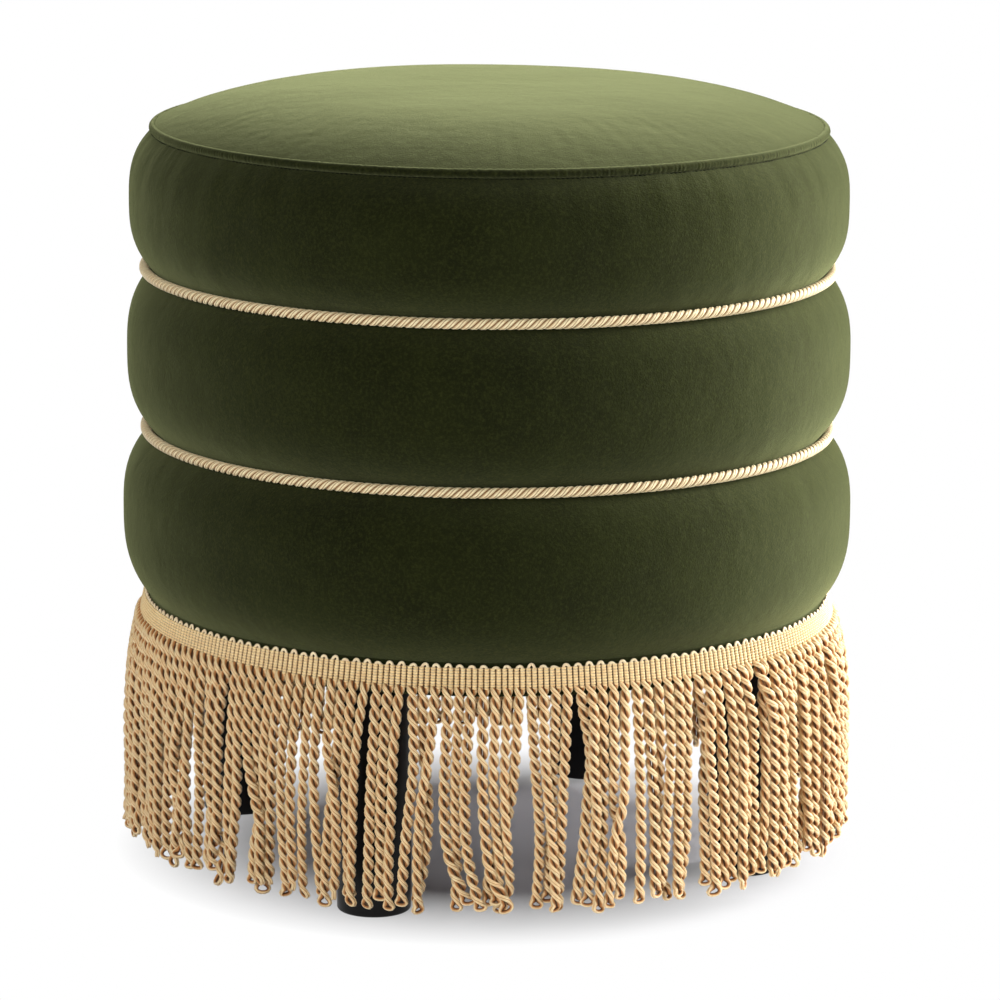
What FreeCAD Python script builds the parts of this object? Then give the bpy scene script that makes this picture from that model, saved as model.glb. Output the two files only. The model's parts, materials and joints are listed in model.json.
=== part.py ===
import FreeCAD, Part
import math
import os

# Round fringed tuffet, modelled standing on its four legs.
# Millimetres, +Z up, the origin on the floor under the middle of the seat.
# Angles run round +Z from +Y towards +X, with the front of the tuffet at -Y.

# Frame of boards and posts
board_radius = 200.0
base_board_thickness = 18.0
seat_board_thickness = 15.0
former_thickness = 12.0
former_opening = 170.0
post_width = 40.0
drum_wall = 3.0
drum_seam_gap = 1.5

# Stuffing and velvet
roll_foam_thickness = 23.45
seat_foam_thickness = 50.0
cover_thickness = 1.4
lower_roll_height = 104.0
middle_roll_height = 101.5
upper_roll_height = 88.4
valley_depth = 17.2
seat_crown = 24.4
crown_sharpness = 4
roll_sharpness = 3
hem_width = 36.0

# Trim
rope_radius = 3.35
welt_radius = 2.75
header_height = 16.0
header_thickness = 2.0
header_seat_depth = 13.3
header_flare = 4.2
cord_count = 192
cord_width = 6.2
cord_flare = 5.5
cord_flare_drop = 33.0
cord_end_height = 17.6
cord_end_spread = 6.2
cord_end_rhythm = 2.4

# Legs and their fixings
leg_radius = 22.7
leg_length = 147.8
leg_edge_chamfer = 2.0
leg_reveal = 1.3
leg_turn = -21.4
glide_radius = 17.0
glide_height = 1.2
dust_cover_thickness = 0.6
dust_cover_margin = 9.0
bolt_radius = 3.9
bolt_depth_in_leg = 32.0
bolt_rise = 3.0
tee_flange_radius = 11.0
tee_flange_thickness = 1.6
tee_barrel_radius = 5.1
tee_barrel_length = 13.0
screw_radius = 2.1
screw_head_radius = 4.6
screw_length = 50.0

# Clearances: fit between hard pieces, seat between soft ones
fit = 0.15
seat = 0.3

# How many flats things are cut into. All that goes round the tuffet's axis has the same gores,
# corner on corner, so a difference of two radii is also the clearance between their flats.
gores = 48
roll_facets = 8
lining_facets = 4
crown_facets = 5
crown_spacing = 0.8
leg_sides = 48
glide_sides = 24
small_sides = 8

up = FreeCAD.Vector(0, 0, 1)
middle = FreeCAD.Vector(0, 0, 0)

# Heights, worked out from the floor up
leg_bottom = glide_height
leg_top = leg_bottom + leg_length
hem_bottom = leg_top + dust_cover_thickness
base_bottom = hem_bottom + cover_thickness
base_top = base_bottom + base_board_thickness
header_top = base_top
header_bottom = header_top - header_height
lower_rope_height = header_top + lower_roll_height
upper_rope_height = lower_rope_height + middle_roll_height
welt_height = upper_rope_height + upper_roll_height
section_rise = math.sin(math.pi / 3)  # half the height of a hexagonal trim section, over its radius
seat_edge_height = welt_height + welt_radius * section_rise
crown_height = seat_edge_height + seat_crown
seat_board_top = crown_height - cover_thickness - seat_foam_thickness
seat_board_bottom = seat_board_top - seat_board_thickness

# Radii, worked out from the boards outwards
drum_inner = board_radius + fit
drum_outer = drum_inner + drum_wall
foam_inner = drum_outer + seat
roll_radius = foam_inner + roll_foam_thickness + seat + cover_thickness
valley_radius = roll_radius - valley_depth
header_seat_radius = roll_radius - header_seat_depth
hem_radius = header_seat_radius + header_flare
board_flat = board_radius * math.cos(math.pi / gores)
post_face = math.sqrt(board_flat ** 2 - (post_width / 2) ** 2)
post_circle_radius = post_face - post_width / 2
leg_circle_radius = board_radius - leg_reveal - leg_radius
leg_angles = [leg_turn + 90 * i for i in range(4)]
post_angles = [angle + 45 for angle in leg_angles]


def at_angle(radius, degrees, height=0.0):
    """A point at that radius and angle round the tuffet's axis."""
    turn = math.radians(degrees)
    return FreeCAD.Vector(radius * math.sin(turn), -radius * math.cos(turn), height)


def ring_points(radius, height, sides, centre=middle):
    """The corners of a level regular polygon, the first of them on the +X side."""
    points = []
    for i in range(sides):
        turn = 2 * math.pi * i / sides
        points.append(centre + FreeCAD.Vector(radius * math.cos(turn), radius * math.sin(turn), height))
    return points


def flat_face(points):
    """The flat face inside those corners."""
    return Part.Face(Part.makePolygon(points + points[:1]))


def planed(outline, sides=gores, centre=middle, closed=True):
    """A solid of flat gores: the (radius, height) outline swung round an axis in straight steps.

    A closed outline makes a ring. An open one, given from the bottom up, is capped level at both ends."""
    rings = [ring_points(r, z, sides, centre) for r, z in outline]
    pairs = list(zip(rings, rings[1:]))
    faces = []
    if closed:
        pairs.append((rings[-1], rings[0]))
    else:
        faces = [flat_face(rings[0]), flat_face(rings[-1])]
    for low, high in pairs:
        for i in range(sides):
            following = (i + 1) % sides
            faces.append(flat_face([low[i], low[following], high[following], high[i]]))
    shell = Part.Shell(faces)
    shell.sewShape()
    solid = Part.Solid(shell)
    if solid.Volume < 0:
        solid.reverse()
    return solid


def section_outline(radius, height, section_radius):
    """A hexagon, flat above and below."""
    points = []
    for i in range(6):
        across = section_radius * math.cos(math.pi * i / 3)
        rise = section_radius * math.sin(math.pi * i / 3)
        points.append((radius + across, height + rise))
    return points


def roll_radius_at(share, low_radius, high_radius, widest):
    """The radius of a roll at that share of its height: widest half way up, drawn in at both ends."""
    end_radius = low_radius if share < 0.5 else high_radius
    return widest - (widest - end_radius) * abs(2 * share - 1) ** roll_sharpness


def roll_profile(low, high, low_radius, high_radius, widest, facets):
    """The crowned outline of one roll, with its points closer together towards the valleys."""
    points = []
    for i in range(facets + 1):
        share = (1 - math.cos(math.pi * i / facets)) / 2
        radius = roll_radius_at(share, low_radius, high_radius, widest)
        points.append((radius, low + share * (high - low)))
    return points


def inset(profile, depth):
    """The profile moved that far towards the axis."""
    return [(r - depth, z) for r, z in profile]


def pulled_back(end, following, gap):
    """The end point moved along its facet, until it lies that much higher or lower."""
    share = gap / abs(following[1] - end[1])
    return (end[0] + share * (following[0] - end[0]), end[1] + share * (following[1] - end[1]))


def trimmed(profile, bottom_gap, top_gap):
    """The profile with both ends pulled back."""
    first = pulled_back(profile[0], profile[1], bottom_gap)
    last = pulled_back(profile[-1], profile[-2], top_gap)
    return [first] + profile[1:-1] + [last]


def board(radius, bottom, thickness):
    """A round board."""
    return planed([(radius, bottom), (radius, bottom + thickness)], closed=False)


def rod(place, radius, bottom, length, sides=small_sides):
    """An upright rod, or the tool that drills its hole."""
    return planed([(radius, bottom), (radius, bottom + length)], sides, place, False)


def drilled(shape, radius, places, bottom, length):
    """The shape with an upright hole at each place."""
    return shape.cut(Part.makeCompound([rod(p, radius, bottom, length) for p in places]))


def sunk_screw(place, head_height, direction, clearance=0.0):
    """A countersunk screw, its head flush at head_height, pointing up where direction is 1, down at -1."""
    stations = [
        (screw_head_radius + clearance, 0.0),
        (screw_radius + clearance, screw_head_radius - screw_radius),
        (screw_radius + clearance, screw_length + clearance),
    ]
    outline = [(r, head_height + direction * depth) for r, depth in stations]
    return planed(outline[::direction], small_sides, place, False)


# Where the fixings stand
bolt_places = [at_angle(leg_circle_radius, angle) for angle in leg_angles]
screw_places = [at_angle(post_circle_radius, angle) for angle in post_angles]
base_screw_cuts = [sunk_screw(p, base_bottom, 1, fit) for p in screw_places]
seat_screw_cuts = [sunk_screw(p, seat_board_top, -1, fit) for p in screw_places]


def base_board():
    """The board under the drum, bored for the tee nuts and the post screws."""
    shape = board(board_radius, base_bottom, base_board_thickness)
    shape = drilled(shape, tee_barrel_radius + fit, bolt_places, base_bottom, base_board_thickness)
    return shape.cut(Part.makeCompound(base_screw_cuts))


def seat_board():
    """The board under the seat foam."""
    shape = board(board_radius, seat_board_bottom, seat_board_thickness)
    return shape.cut(Part.makeCompound(seat_screw_cuts))


def radial_block(angle, width, inner, outer, bottom, top):
    """A block that reaches from the inner to the outer distance, at that angle."""
    block = Part.makeBox(width, outer - inner, top - bottom)
    block.translate(FreeCAD.Vector(-width / 2, -outer, bottom))
    block.rotate(middle, up, angle)
    return block


def post(angle, index):
    """One upright between the boards, its outer corners on their edge, drilled for its two screws."""
    inner = post_face - post_width
    blank = radial_block(angle, post_width, inner, post_face, base_top, seat_board_bottom)
    return blank.cut(Part.makeCompound([base_screw_cuts[index], seat_screw_cuts[index]]))


def former(height):
    """A plywood ring behind one rope, notched round the posts, with a square opening."""
    bottom = height - former_thickness / 2
    top = bottom + former_thickness
    shape = board(board_radius, bottom, former_thickness)
    half = former_opening / 2
    cuts = [radial_block(post_angles[0] + 45, former_opening, -half, half, bottom, top)]
    for angle in post_angles:
        notch_floor = post_face - post_width - fit
        cuts.append(radial_block(angle, post_width + 2 * fit, notch_floor, drum_outer, bottom, top))
    return shape.cut(Part.makeCompound(cuts))


def drum_skin():
    """Thin board bent round the frame, its two ends meeting on the rear post."""
    height = seat_board_top - base_bottom
    wall = board(drum_outer, base_bottom, height).cut(board(drum_inner, base_bottom, height))
    seam_angle = post_angles[2]
    seam = radial_block(seam_angle, drum_seam_gap, 0, 2 * drum_outer, base_bottom, seat_board_top)
    return wall.cut(seam)


# The outlines of the three rolls, from the bottom up, outside and on the lining side
upper_cover_top = welt_height - welt_radius * section_rise - seat
roll_ends = {
    "lower": (header_top, lower_rope_height, header_seat_radius, valley_radius),
    "middle": (lower_rope_height, upper_rope_height, valley_radius, valley_radius),
    "upper": (upper_rope_height, upper_cover_top, valley_radius, valley_radius),
}
outlines = {}
linings = {}
for roll, ends in roll_ends.items():
    outlines[roll] = roll_profile(*ends, roll_radius, roll_facets)
    linings[roll] = inset(roll_profile(*ends, roll_radius, lining_facets), cover_thickness)
hem_inner = hem_radius - hem_width
outlines["lower"].insert(0, (hem_radius, hem_bottom))
linings["lower"].insert(0, (hem_radius - cover_thickness, base_bottom))
valley_gaps = {"lower": (0, seat / 2), "middle": (seat / 2, seat / 2), "upper": (seat / 2, 0)}


def band_cover(roll):
    """One velvet band over its roll. The lowest runs on behind the fringe and turns under the base board."""
    outside = trimmed(outlines[roll], *valley_gaps[roll])
    inside = trimmed(linings[roll], *valley_gaps[roll])
    hem = [(hem_inner, base_bottom), (hem_inner, hem_bottom)] if roll == "lower" else []
    return planed(outside + inside[::-1] + hem)


def roll_foam(roll):
    """One strip of foam round the drum, crowned under its velvet."""
    outside = trimmed(inset(linings[roll], seat), *valley_gaps[roll])
    return planed(outside + [(foam_inner, outside[-1][1]), (foam_inner, outside[0][1])])


def flank_radius_at(roll, end, rise):
    """The radius of a roll's velvet that far above or below its valley."""
    outline = outlines[roll] if end == 0 else outlines[roll][::-1]
    return pulled_back(outline[0], outline[1], rise)[0]


# The ropes lie in their valleys against both flanks, and the welt on the top roll's upper edge
rope_rise = rope_radius * section_rise
rope_flanks = [
    flank_radius_at("lower", -1, rope_rise),
    flank_radius_at("middle", 0, rope_rise),
    flank_radius_at("middle", -1, rope_rise),
    flank_radius_at("upper", 0, rope_rise),
]
rope_ring_radius = max(rope_flanks) + seat + rope_radius / 2
welt_ring_radius = valley_radius - cover_thickness / 2 - seat
seat_edge_radius = welt_ring_radius - welt_radius - seat


def seat_profile(drop):
    """The crowned seat outline from its edge to its flat middle, lowered by drop."""
    points = [(seat_edge_radius, welt_height + seat - drop)]
    for i in range(1, crown_facets + 1):
        radius = seat_edge_radius * math.cos(math.pi * i / (2 * crown_facets + 2)) ** crown_spacing
        height = seat_edge_height + seat_crown * (1 - (radius / welt_ring_radius) ** crown_sharpness)
        points.append((radius, height - drop))
    return points


def seat_cover():
    """The round velvet panel of the seat."""
    return planed(seat_profile(cover_thickness)[::-1] + seat_profile(0), closed=False)


def seat_foam():
    """The crowned disc of foam on the seat board."""
    side = foam_inner - seat
    crown = [p for p in seat_profile(cover_thickness + seat)[1:] if p[0] < side]
    return planed([(side, seat_board_top), (side, upper_cover_top)] + crown, closed=False)


def fringe_header():
    """The woven heading of the fringe, lying on the lowest velvet band."""
    slope = header_flare / (header_top - hem_bottom)
    high = header_seat_radius + seat
    low = high + slope * header_height
    return planed([
        (low, header_bottom),
        (low + header_thickness, header_bottom),
        (high + header_thickness, header_top),
        (high, header_top),
    ])


def square_at(centre, angle, width):
    """A level square, facing out from the axis."""
    half = width / 2
    ways = ((-1, -1), (1, -1), (1, 1), (-1, 1), (-1, -1))
    wire = Part.makePolygon([FreeCAD.Vector(half * x, half * y, 0) for x, y in ways])
    wire.rotate(middle, up, angle)
    wire.translate(centre)
    return wire


def fringe_cords():
    """The hanging cords of the bullion fringe: each leans out from the heading, then hangs straight."""
    top_radius = hem_radius + seat + cord_width / 2
    hang_radius = top_radius + cord_flare
    cords = []
    for i in range(cord_count):
        angle = 360.0 * (i + 0.5) / cord_count
        end = cord_end_height + cord_end_spread * (0.5 + 0.5 * math.sin(cord_end_rhythm * i))
        stations = [
            at_angle(top_radius, angle, header_bottom),
            at_angle(hang_radius, angle, header_bottom - cord_flare_drop),
            at_angle(hang_radius, angle, end),
        ]
        cords.append(Part.makeLoft([square_at(p, angle, cord_width) for p in stations], True, True))
    return Part.makeCompound(cords)


def dust_cover():
    """The cloth under the base board, holed for the leg bolts."""
    shape = board(hem_radius - dust_cover_margin, leg_top, dust_cover_thickness)
    return drilled(shape, bolt_radius + fit, bolt_places, leg_top, dust_cover_thickness)


def leg(place):
    """A straight round leg with an eased foot, bored for its bolt."""
    outline = [
        (leg_radius - leg_edge_chamfer, leg_bottom),
        (leg_radius, leg_bottom + leg_edge_chamfer),
        (leg_radius, leg_top),
    ]
    shape = planed(outline, leg_sides, place, False)
    return drilled(shape, bolt_radius + fit, [place], leg_top - bolt_depth_in_leg, bolt_depth_in_leg)


def tee_nut(place):
    """A tee nut pressed into the base board from above."""
    flange = rod(place, tee_flange_radius, base_top, tee_flange_thickness)
    barrel = rod(place, tee_barrel_radius, base_top - tee_barrel_length, tee_barrel_length)
    return drilled(flange.fuse(barrel), bolt_radius + fit, [place], base_bottom, 2 * base_board_thickness)


def hanger_bolt(place):
    """A bolt from inside the leg to just above its tee nut."""
    bottom = leg_top - bolt_depth_in_leg
    return rod(place, bolt_radius, bottom, base_top + tee_flange_thickness + bolt_rise - bottom)


parts = {
    "base_board": base_board(),
    "seat_board": seat_board(),
    "lower_former": former(lower_rope_height),
    "upper_former": former(upper_rope_height),
    "drum_skin": drum_skin(),
    "lower_foam": roll_foam("lower"),
    "middle_foam": roll_foam("middle"),
    "upper_foam": roll_foam("upper"),
    "seat_foam": seat_foam(),
    "lower_cover": band_cover("lower"),
    "middle_cover": band_cover("middle"),
    "upper_cover": band_cover("upper"),
    "seat_cover": seat_cover(),
    "top_welt": planed(section_outline(welt_ring_radius, welt_height, welt_radius)),
    "upper_rope": planed(section_outline(rope_ring_radius, upper_rope_height, rope_radius)),
    "lower_rope": planed(section_outline(rope_ring_radius, lower_rope_height, rope_radius)),
    "fringe_header": fringe_header(),
    "fringe_cords": fringe_cords(),
    "dust_cover": dust_cover(),
    "hanger_bolts": Part.makeCompound([hanger_bolt(p) for p in bolt_places]),
    "tee_nuts": Part.makeCompound([tee_nut(p) for p in bolt_places]),
    "base_screws": Part.makeCompound([sunk_screw(p, base_bottom, 1) for p in screw_places]),
    "seat_screws": Part.makeCompound([sunk_screw(p, seat_board_top, -1) for p in screw_places]),
}
for i, side in enumerate(("front", "right", "rear", "left")):
    parts["leg_" + side] = leg(bolt_places[i])
    parts["glide_" + side] = rod(bolt_places[i], glide_radius, 0, glide_height, glide_sides)
    parts["post_" + side] = post(post_angles[i], i)

os.makedirs("parts", exist_ok=True)
for name, shape in parts.items():
    shape.exportStep("parts/" + name + ".step")
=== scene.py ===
import json
import math

import bpy
import numpy as np
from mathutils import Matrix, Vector


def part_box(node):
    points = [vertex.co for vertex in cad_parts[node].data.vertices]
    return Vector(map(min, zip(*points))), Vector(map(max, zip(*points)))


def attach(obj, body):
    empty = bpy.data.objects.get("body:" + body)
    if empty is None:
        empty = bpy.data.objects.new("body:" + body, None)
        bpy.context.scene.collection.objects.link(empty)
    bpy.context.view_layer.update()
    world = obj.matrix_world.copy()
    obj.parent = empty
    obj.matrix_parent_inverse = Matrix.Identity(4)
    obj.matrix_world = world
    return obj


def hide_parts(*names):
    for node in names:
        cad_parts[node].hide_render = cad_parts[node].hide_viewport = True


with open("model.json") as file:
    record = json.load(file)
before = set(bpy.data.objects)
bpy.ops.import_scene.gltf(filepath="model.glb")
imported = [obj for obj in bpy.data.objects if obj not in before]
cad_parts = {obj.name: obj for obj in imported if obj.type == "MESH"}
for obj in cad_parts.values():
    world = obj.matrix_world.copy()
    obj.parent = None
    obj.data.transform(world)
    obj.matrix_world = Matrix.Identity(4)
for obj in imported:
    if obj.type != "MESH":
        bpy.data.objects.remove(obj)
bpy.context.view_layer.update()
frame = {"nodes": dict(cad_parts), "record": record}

# Round fringed tuffet. Metres, +Z up, the front at -Y; angles run round +Z from -Y towards +X.
BODY = "root"
MM = 0.001
UP = np.array([0.0, 0.0, 1.0])
RNG = np.random.default_rng(20)


# What the frame gives
def low(node):
    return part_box(node)[0]


def high(node):
    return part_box(node)[1]


def middle_height(node):
    return (high(node).z + low(node).z) / 2


def section_radius(node):
    """The radius of a node whose section is a hexagon with a corner pointing outwards."""
    return (high(node).z - low(node).z) / 2 / math.sin(math.pi / 3)


ROLL_RADIUS = high("middle_cover").x
ROPE_RADIUS = section_radius("upper_rope")
ROPE_RING = high("upper_rope").x - ROPE_RADIUS
WELT_RADIUS = section_radius("top_welt")
WELT_RING = high("top_welt").x - WELT_RADIUS
WELT_HEIGHT = middle_height("top_welt")
SEAT_EDGE_HEIGHT = high("top_welt").z
HEADER_TOP = high("fringe_header").z
HEADER_BOTTOM = low("fringe_header").z
HEADER_OUTER = high("fringe_header").x
HEM_BOTTOM = low("lower_cover").z
FRINGE_OUTER = high("fringe_cords").x
FRINGE_END = low("fringe_cords").z
LOWER_VALLEY = middle_height("lower_rope")
UPPER_VALLEY = middle_height("upper_rope")

# Velvet
ROLL_COLUMNS = 512
ROLL_ROWS = 32
ROLL_SHARPNESS = 3
LOWER_FULLNESS = 2.2 * MM
MIDDLE_FULLNESS = -0.5 * MM
UPPER_FULLNESS = -2.4 * MM
VALLEY_RADIUS = ROLL_RADIUS - 17.2 * MM
HEM_ROWS = 6
HEADER_SEAT = ROLL_RADIUS - 13.3 * MM
HEADER_FLARE = 4.2 * MM
HEM_RADIUS = HEADER_SEAT + HEADER_FLARE
FOAM_INNER = 203.6 * MM
SEAT_COLUMNS = 384
SEAT_ROWS = 46
SEAT_CROWN = 24.4 * MM
CROWN_SHARPNESS = 4
SEAT_DEPTH = 20 * MM
SEAT_GATHERS = 0.22 * MM
SEAT_GATHER_REACH = 7 * MM
SEAT_WAVE = 0.5 * MM
ROLL_WAVE = 0.6 * MM

# How the cloth settles
CLOTH_PRESSURE = 4.0
CLOTH_FRAMES = 20
SWELL_CAP = 1.5 * MM

# Welt and its stitches
WELT_STEPS = 2304
WELT_SIDES = 14
WELT_WRINKLES = 0.26 * MM
WELT_CREASES = 0.16 * MM
STITCHES = 440
STITCH_SHARE = 0.66
STITCH_WIDTH = 0.28 * MM
STITCH_DEPTH = 0.24 * MM
STITCH_SINK = 0.35 * MM

# Ropes
STRANDS = 3
STRAND_RADIUS = 1.68 * MM
STRAND_ORBIT = ROPE_RADIUS - STRAND_RADIUS + 0.15 * MM
STRAND_PITCH = 16.5 * MM
STRAND_SIDES = 12
OUTWARD_FLATNESS = 0.83

# Fringe cords
CORDS = 192
PLY_ORBIT = 2.2 * MM
PLY_DEPTH = 1.26 * MM
TWIST_PITCH = 16.3 * MM
STEPS_PER_TURN = 12
LOOP_STEPS = 9
LOOP_DROP = 3.9 * MM
LOOP_BULGE = 1.5 * MM
CORD_REACH = 6.5 * MM
CORD_END_LOWER = 2.0 * MM
CORD_END_SPREAD = 6.2 * MM
CORD_END_RHYTHM = 2.4
CORDS_PER_PIECE = 24
GROUP_PULL = 0.5
FLARE_LENGTH = 0.13
TURN_SPREAD = 0.06
PHASE_SPREAD = 0.09
ORBIT_SPREAD = 0.08
PUSH_ROUNDS = 160
PUSH_SHARE = 0.3

# Heading
RIBS = 2 * CORDS
RIB_WIDTH = 1.4 * MM
RIB_DEPTH = 1.1 * MM
RIB_STEPS = 8
RIB_STAND = 1.35 * MM
PICOT_RISE = 2.2 * MM
PICOT_SLIMNESS = 0.36
PICOT_JITTER = 0.4 * MM
PICOT_LEAN = 0.16
THREAD_ROWS = 8
THREAD_STEPS_PER_RIB = 5
THREAD_WIDTH = 0.66 * MM
THREAD_DEPTH = 0.62 * MM
THREAD_SWING = 1.6 * MM
THREAD_SINK = 0.5 * MM
THREAD_WOBBLE = 0.12 * MM

# Legs
LEG_EASE = 1.8 * MM
GLIDE_EASE = 0.9 * MM

# Dust cover
STAPLES = 36
STAPLE_CROWN = 9.0 * MM
STAPLE_WIDTH = 0.6 * MM
STAPLE_DEPTH = 0.3 * MM
STAPLE_SINK = 0.6 * MM
STAPLE_INSET = 7.0 * MM
STAPLE_TILT = 0.12
DUST_SAG = 0.25 * MM

# Stage, camera and light
FLOOR_HALF = 30.0
FLOOR_COLOUR = (0.72, 0.72, 0.72)
# To the camera, the floor under the tuffet takes this darker colour: painted shade that deepens its real
# shadow.
SHADED_FLOOR = (0.46, 0.45, 0.48)
FADE_START = 0.125
FADE_END = 0.238
AMBIENT = 0.05
LAMP_SIZE = 1.8
LAMP_DISTANCE = 3.0
LAMP_AIM = Vector((0, 0, 0.25))
LAMPS = {
    "rim_right": (95, 25, 134),
    "rim_back_right": (120, 25, 184),
    "back": (180, 30, 68),
    "fill_left": (333, 25, 62),
}
CAMERA_LENS = 178.57
CAMERA_SENSOR = 36.0
CAMERA_PLACE = (0.07004, -3.08976, 0.87666)
CAMERA_TURN = (math.pi / 2 - 0.20838, -0.0069, 0.0215)


# Meshes
def quads(rows, columns, wrap_rows=False, wrap_columns=False):
    """Point numbers of a grid's quads, and the same corners as (row, column) steps without wrapping."""
    r, c = np.meshgrid(
        np.arange(rows if wrap_rows else rows - 1),
        np.arange(columns if wrap_columns else columns - 1),
        indexing="ij",
    )
    corners = [(0, 0), (0, 1), (1, 1), (1, 0)]
    steps = np.stack([np.stack([r.ravel() + i, c.ravel() + j], 1) for i, j in corners], 1)
    return (steps[:, :, 0] % rows) * columns + steps[:, :, 1] % columns, steps


def fans(ring, middle, flip=False):
    """Triangles from a ring of point numbers to the point number in its middle."""
    faces = np.stack([ring, np.roll(ring, -1), np.full(len(ring), middle)], 1)
    return faces[:, ::-1] if flip else faces


def signed_volume(points, faces):
    """Six times the volume inside the faces, by fans from each face's first corner."""
    total = 0.0
    a = points[faces[:, 0]]
    for i in range(1, faces.shape[1] - 1):
        total += np.einsum("ij,ij->", a, np.cross(points[faces[:, i]], points[faces[:, i + 1]]))
    return total


def make_piece(name, points, parts, material, maps=()):
    """A smooth-shaded mesh object. parts are arrays of faces, all quads or all triangles in each; maps are
    pairs of a name and one array of (u, v) per corner for each part."""
    if sum(signed_volume(points, faces) for faces in parts) < 0:
        parts = [faces[:, ::-1] for faces in parts]
        maps = [(n, [uv[:, ::-1] for uv in uvs]) for n, uvs in maps]
    mesh = bpy.data.meshes.new(name)
    mesh.vertices.add(len(points))
    mesh.vertices.foreach_set("co", points.astype(np.float32).ravel())
    corners = np.concatenate([faces.ravel() for faces in parts])
    sizes = np.concatenate([np.full(len(faces), faces.shape[1]) for faces in parts])
    mesh.loops.add(len(corners))
    mesh.loops.foreach_set("vertex_index", corners.astype(np.int32))
    mesh.polygons.add(len(sizes))
    starts = np.concatenate([[0], np.cumsum(sizes)[:-1]])
    mesh.polygons.foreach_set("loop_start", starts.astype(np.int32))
    mesh.polygons.foreach_set("loop_total", sizes.astype(np.int32))
    mesh.update(calc_edges=True)
    for map_name, uvs in maps:
        layer = mesh.uv_layers.new(name=map_name)
        flat = np.concatenate([uv.reshape(-1, 2) for uv in uvs])
        layer.uv.foreach_set("vector", flat.astype(np.float32).ravel())
    mesh.shade_smooth()
    mesh.validate()
    piece = bpy.data.objects.new(name, mesh)
    bpy.context.collection.objects.link(piece)
    piece.data.materials.append(material)
    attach(piece, BODY)
    return piece


def unit(vectors):
    return vectors / np.maximum(np.linalg.norm(vectors, axis=-1, keepdims=True), 1e-12)


def polar(radius, angle, height):
    """Points at those radii and angles round the axis."""
    return np.stack(np.broadcast_arrays(radius * np.sin(angle), -radius * np.cos(angle), height), -1)


def sweep(paths, outward, profile, ring=False):
    """Tubes along paths, an array (tube, step, xyz). profile is (sideways, outward) offsets, the same for
    all or an array (tube, step, corner, 2). Returns points as (tube, step, corner, xyz)."""
    if ring:
        along = unit(np.roll(paths, -1, 1) - np.roll(paths, 1, 1))
    else:
        along = unit(np.gradient(paths, axis=1))
    side = unit(np.cross(along, outward))
    out = np.cross(side, along)
    profile = np.broadcast_to(profile, paths.shape[:2] + np.shape(profile)[-2:])
    return (paths[:, :, None] + side[:, :, None] * profile[..., :1] + out[:, :, None] * profile[..., 1:])


def ellipse(width, depth, sides):
    turn = 2 * np.pi * np.arange(sides) / sides
    return np.stack([width * np.sin(turn), depth * np.cos(turn)], -1)


def strip_maps(tubes, steps, sides, ring, corner, blocks):
    """The map "yarn" runs along and round each tube. The map "OFBake" lays the tubes out in strips, each cut
    into so many blocks along its length."""
    count = tubes * blocks
    per_block = math.ceil((steps if ring else steps - 1) / blocks)
    step, side = corner[..., 0], corner[..., 1]
    block = step[:, :1] // per_block
    share = (step - block * per_block) / per_block
    yarn = np.stack([step / steps, side / sides], -1)
    rows = [(t * blocks + block + 0.08 + 0.84 * side / sides) / count for t in range(tubes)]
    bake = [np.stack([0.004 + 0.992 * share, row], -1) for row in rows]
    return [("yarn", [np.concatenate([yarn] * tubes)]), ("OFBake", [np.concatenate(bake)])]


def tube_piece(name, points, material, ring=False, blocks=1):
    """One piece from tubes, an array (tube, step, corner, xyz), with closed ends unless they are rings."""
    tubes, steps, sides = points.shape[:3]
    faces, corner = quads(steps, sides, ring, True)
    firsts = np.arange(tubes) * steps * sides
    all_points = points.reshape(-1, 3)
    parts = [(faces[None] + firsts[:, None, None]).reshape(-1, 4)]
    maps = strip_maps(tubes, steps, sides, ring, corner, blocks)
    if not ring:
        middle = len(all_points) + np.arange(2 * tubes)
        end_ring = np.arange(sides)
        caps = []
        for t, first in enumerate(firsts):
            caps.append(fans(first + end_ring, middle[2 * t], True))
            caps.append(fans(first + (steps - 1) * sides + end_ring, middle[2 * t + 1]))
        parts.append(np.concatenate(caps))
        centres = points[:, [0, -1]].mean(2).reshape(-1, 3)
        all_points = np.concatenate([all_points, centres])
        row = 0.5 / (tubes * blocks)
        spot = np.array([[0.0, row], [0.002, row], [0.002, row + 0.0005]])
        for _, uvs in maps:
            uvs.append(np.broadcast_to(spot, (len(parts[1]), 3, 2)).copy())
    return make_piece(name, all_points, parts, material, maps)


def settled_cloth(points, held, closed_rows=True):
    """Where cloth blown up softly from inside settles: a grid of points, held where held is true.
    The grid's columns go round; its rows do too when closed_rows is true."""
    rows, columns = points.shape[:2]
    ids, _ = quads(rows, columns, closed_rows, True)
    flat = points.reshape(-1, 3)
    if signed_volume(flat, ids) < 0:
        ids = ids[:, ::-1]
    mesh = bpy.data.meshes.new("cloth")
    mesh.from_pydata(flat.tolist(), [], ids.tolist())
    cloth_object = bpy.data.objects.new("cloth", mesh)
    bpy.context.collection.objects.link(cloth_object)
    group = cloth_object.vertex_groups.new(name="held")
    group.add(np.flatnonzero(held.ravel()).tolist(), 1.0, "REPLACE")
    cloth = cloth_object.modifiers.new("cloth", "CLOTH")
    cloth.settings.quality = 5
    cloth.settings.use_pressure = True
    cloth.settings.uniform_pressure_force = CLOTH_PRESSURE
    cloth.settings.effector_weights.gravity = 0.0
    cloth.settings.vertex_group_mass = "held"
    cloth.collision_settings.use_collision = False
    scene = bpy.context.scene
    for number in range(1, CLOTH_FRAMES + 1):
        scene.frame_set(number)
    settled = np.empty(len(flat) * 3, np.float32)
    blown = cloth_object.evaluated_get(bpy.context.evaluated_depsgraph_get())
    blown.data.vertices.foreach_get("co", settled)
    scene.frame_set(1)
    bpy.data.objects.remove(cloth_object)
    bpy.data.meshes.remove(mesh)
    return settled.reshape(points.shape).astype(float)


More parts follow.
